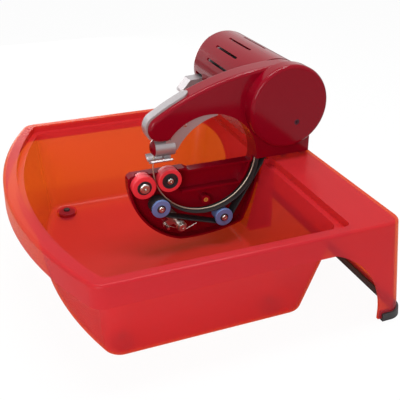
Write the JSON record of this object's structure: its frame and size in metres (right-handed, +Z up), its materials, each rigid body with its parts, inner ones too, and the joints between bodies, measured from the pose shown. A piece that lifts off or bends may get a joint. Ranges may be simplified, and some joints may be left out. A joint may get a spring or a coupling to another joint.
{
  "type": "wet ring saw",
  "caption": "Bench wet saw with a wire ring in an open throat, belt drive from a side motor, rubber guide rollers, blade guide and a translucent water tray.",
  "frame": {"origin": "floor level at the middle of the footprint", "axes": "+Z up, -Y towards the user and the bowed front of the tray, +X towards the pulley cover"},
  "size_m": [0.4666, 0.4294, 0.2627],
  "materials": {
    "tray": "satin translucent red moulding",
    "head": "gloss dark crimson moulding",
    "trim": "satin grey moulding",
    "red_rubber": "moulded red rubber",
    "blue_rubber": "moulded slate blue rubber",
    "black_rubber": "moulded black rubber",
    "black_plastic": "moulded black plastic",
    "steel": "turned steel",
    "ring_wire": "steel ring with a diamond coat",
    "brass": "turned brass",
    "core": "stacked lamination steel",
    "alloy": "die-cast aluminium"
  },
  "bodies": {
    "base": {"tray": "tray", "tray_feet": "black_rubber", "end_foot_strip": "black_rubber", "head_frame": "head", "arm_cover": "head", "pulley_cover": "head", "pulley_cover_screw": "steel", "cover_screws": "steel", "pedestal_screws": "steel", "nose_guard": "trim", "blade_guide": "trim", "guide_screw": "steel", "guide_cap": "head", "front_pinch_axle": "steel", "rear_pinch_axle": "steel", "rear_belt_axle": "steel", "drive_belt": "black_rubber", "tension_pin": "steel", "torsion_spring": "steel", "brass_insert": "brass", "motor_housing": "head", "motor_end_cap": "head", "end_cap_screws": "steel", "power_inlet": "black_plastic", "front_bell": "alloy", "rear_bell": "alloy", "front_bearing": "steel", "rear_bearing": "steel", "motor_stator": "core", "switch_body": "black_plastic", "switch_pin": "steel"},
    "rotor": {"rotor_core": "core", "motor_shaft": "steel", "drive_pulley": "alloy", "pulley_nut": "steel"},
    "ring": {"ring_blade": "ring_wire"},
    "front_pinch_roller": {"front_pinch_tyre": "red_rubber", "front_pinch_hub": "black_plastic"},
    "rear_pinch_roller": {"rear_pinch_tyre": "red_rubber", "rear_pinch_hub": "black_plastic"},
    "tension_lever": {"tension_arm": "steel", "front_belt_axle": "steel"},
    "front_belt_roller": {"front_belt_tyre": "blue_rubber", "front_belt_hub": "black_plastic"},
    "rear_belt_roller": {"rear_belt_tyre": "blue_rubber", "rear_belt_hub": "black_plastic"},
    "switch_lever": {"switch_paddle": "trim"}
  },
  "joints": [
    {"name": "motor_spin", "type": "hinge", "parent": "base", "child": "rotor", "pos_m": [0, 0.1501, 0.2072], "axis": [1, 0, 0], "continuous": true},
    {"name": "ring_spin", "type": "hinge", "parent": "base", "child": "ring", "pos_m": [0, 0.0458, 0.1368], "axis": [1, 0, 0], "continuous": true},
    {"name": "front_pinch_spin", "type": "hinge", "parent": "base", "child": "front_pinch_roller", "pos_m": [0, -0.04177, 0.11415], "axis": [1, 0, 0], "continuous": true},
    {"name": "rear_pinch_spin", "type": "hinge", "parent": "base", "child": "rear_pinch_roller", "pos_m": [0, -0.00656, 0.11826], "axis": [1, 0, 0], "continuous": true},
    {"name": "rear_belt_spin", "type": "hinge", "parent": "base", "child": "rear_belt_roller", "pos_m": [0, 0.06975, 0.05046], "axis": [1, 0, 0], "continuous": true},
    {"name": "tension_swing", "type": "hinge", "parent": "base", "child": "tension_lever", "pos_m": [0, 0.0086, 0.0464], "axis": [1, 0, 0], "range_deg": [0, 6], "stiffness_Nm_per_rad": 0.8, "deforming": ["drive_belt"]},
    {"name": "front_belt_spin", "type": "hinge", "parent": "tension_lever", "child": "front_belt_roller", "pos_m": [0, -0.02102, 0.08093], "axis": [1, 0, 0], "continuous": true},
    {"name": "switch_press", "type": "hinge", "parent": "base", "child": "switch_lever", "pos_m": [0, 0.1098, 0.195], "axis": [1, 0, 0], "range_deg": [0, 9], "stiffness_Nm_per_rad": 0.15, "springref_deg": -8.59}
  ],
  "couplings": [
    {"joint": "ring_spin", "follows": "motor_spin", "ratio": -0.32},
    {"joint": "front_pinch_spin", "follows": "motor_spin", "ratio": 1.4553},
    {"joint": "rear_pinch_spin", "follows": "motor_spin", "ratio": -1.4198},
    {"joint": "rear_belt_spin", "follows": "motor_spin", "ratio": 1.9835},
    {"joint": "front_belt_spin", "follows": "motor_spin", "ratio": 1.9835}
  ]
}
